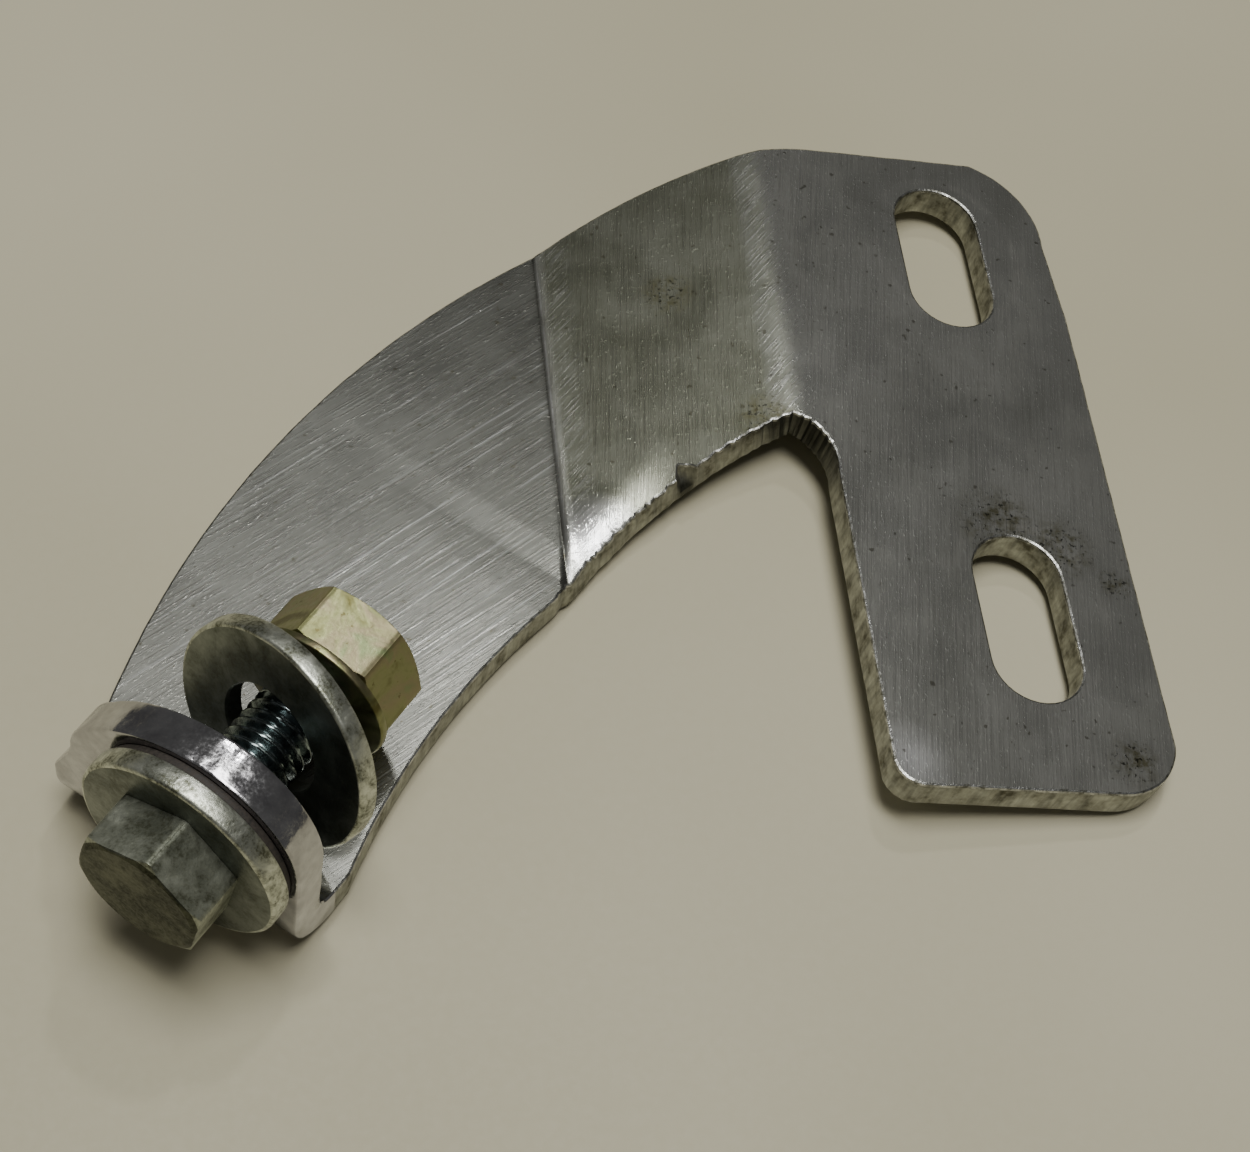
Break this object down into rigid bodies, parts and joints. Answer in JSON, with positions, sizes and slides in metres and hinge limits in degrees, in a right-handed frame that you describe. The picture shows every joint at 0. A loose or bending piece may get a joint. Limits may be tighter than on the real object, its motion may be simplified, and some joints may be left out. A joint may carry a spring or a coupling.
{
  "type": "swivel clamp bracket",
  "caption": "Bent flat-plate bracket: a slotted mounting flange, a curved cranked arm and a turned-up ear that carries a cross bolt with washers and a nut.",
  "frame": {"origin": "midway between the two slots, on the flange's underside", "axes": "+Z out of the flange's top face, +Y along the slots towards the arm's end of the flange, so the arm leaves towards -X"},
  "size_m": [0.1445, 0.1323, 0.0379],
  "materials": {
    "plate": "hand-polished bare metal with brush marks",
    "bolt_zinc": "dull zinc plate with grime",
    "washer_zinc": "dull zinc plate",
    "washer_galvanised": "dull galvanised",
    "friction_black": "matt black fibre",
    "yellow_zinc": "yellow chromate zinc plate"
  },
  "bodies": {
    "bracket": {"bracket_plate": "plate"},
    "bolt": {"pivot_bolt": "bolt_zinc"},
    "head_washer": {"head_washer": "washer_zinc"},
    "friction_washer": {"friction_washer": "friction_black"},
    "fender_washer": {"fender_washer": "washer_galvanised"},
    "nut_carrier": {"nut_washer": "yellow_zinc"},
    "nut": {"clamp_nut": "yellow_zinc"}
  },
  "joints": [
    {"name": "bolt_spin", "type": "hinge", "parent": "bracket", "child": "bolt", "pos_m": [-0.11075, -0.0669, 0.0035], "axis": [0.6111, 0.788, 0.075], "continuous": true},
    {"name": "head_washer_spin", "type": "hinge", "parent": "bracket", "child": "head_washer", "pos_m": [-0.11075, -0.0669, 0.0035], "axis": [0.6111, 0.788, 0.075], "continuous": true},
    {"name": "friction_washer_spin", "type": "hinge", "parent": "bracket", "child": "friction_washer", "pos_m": [-0.11075, -0.0669, 0.0035], "axis": [0.6111, 0.788, 0.075], "continuous": true},
    {"name": "nut_travel", "type": "slide", "parent": "bracket", "child": "nut_carrier", "axis": [-0.6111, -0.788, -0.075], "range_m": [0, 0.009]},
    {"name": "nut_spin", "type": "hinge", "parent": "nut_carrier", "child": "nut", "pos_m": [-0.09675, -0.04885, 0.00522], "axis": [-0.6111, -0.788, -0.075], "range_deg": [0, 2160]},
    {"name": "fender_square_up", "type": "hinge", "parent": "bracket", "child": "fender_washer", "pos_m": [-0.09502, -0.06245, -0.00086], "axis": [0.4443, -0.4199, 0.7914], "range_deg": [0, 15]}
  ],
  "couplings": [
    {"joint": "nut_travel", "follows": "nut_spin", "m_per_rad": 0.00023873},
    {"joint": "fender_square_up", "follows": "nut_spin", "ratio": 0.0069444}
  ]
}
